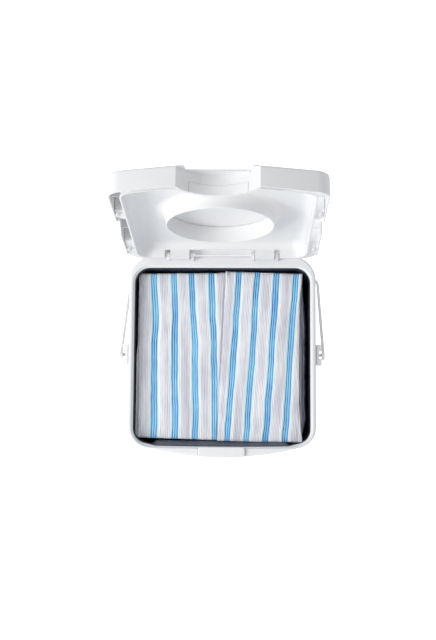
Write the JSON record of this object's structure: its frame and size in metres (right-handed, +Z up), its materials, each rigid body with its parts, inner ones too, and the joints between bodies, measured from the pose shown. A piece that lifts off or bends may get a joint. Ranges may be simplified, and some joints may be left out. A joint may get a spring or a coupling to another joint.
{
  "type": "portable camp toilet",
  "caption": "Square lidded pail toilet with a bail handle, a hinged seat lid with a round collar, an outer cover, a liner bag and folded absorbent pads.",
  "frame": {"origin": "on the ground, midway across the width of the pail", "axes": "+Z up, -Y towards the front edge with the thumb tab, +Y towards the lid hinge, +X to the right when looking along +Y"},
  "size_m": [0.3758, 0.441, 0.7168],
  "materials": {
    "white_plastic": "satin moulded polypropylene, fine texture, white",
    "coated_wire": "white powder-coated steel wire, satin",
    "foot_rubber": "matt grey rubber",
    "soft_tpe": "matt white soft elastomer",
    "zinc_steel": "zinc-plated steel",
    "liner_film": "dark slate plastic film, wrinkled, satin",
    "pad_fabric": "white ribbed non-woven with lengthwise blue pinstripe bands"
  },
  "bodies": {
    "pail_body": {"pail": "white_plastic", "thumb_tab": "white_plastic", "rubber_feet": "foot_rubber", "handle_bracket_left": "white_plastic", "handle_bracket_right": "white_plastic", "bracket_screws": "zinc_steel", "seat_hinge_pin_left": "zinc_steel", "seat_hinge_pin_right": "zinc_steel", "liner_bag": "liner_film", "pad_stack_left": "pad_fabric", "pad_stack_right": "pad_fabric", "top_pad_left": "pad_fabric", "top_pad_right": "pad_fabric"},
    "handle": {"bail_wire": "coated_wire"},
    "grip": {"bail_grip": "white_plastic"},
    "seat": {"seat_lid": "white_plastic", "seat_buffers": "soft_tpe", "cover_hinge_pin_left": "zinc_steel", "cover_hinge_pin_right": "zinc_steel"},
    "cover": {"lid_cover": "white_plastic", "cover_seal": "soft_tpe"}
  },
  "joints": [
    {"name": "seat_hinge", "type": "hinge", "parent": "pail_body", "child": "seat", "pos_m": [0, 0.17, 0.3495], "axis": [1, 0, 0], "range_deg": [0, 97]},
    {"name": "cover_hinge", "type": "hinge", "parent": "seat", "child": "cover", "pos_m": [0, 0.19365, 0.34357], "axis": [1, 0, 0], "range_deg": [-100, 0]},
    {"name": "handle_swing", "type": "hinge", "parent": "pail_body", "child": "handle", "pos_m": [0, -0.008, 0.318], "axis": [1, 0, 0], "range_deg": [0, 64]},
    {"name": "grip_spin", "type": "hinge", "parent": "handle", "child": "grip", "pos_m": [0, 0.16608, 0.14989], "axis": [1, 0, 0], "continuous": true}
  ]
}
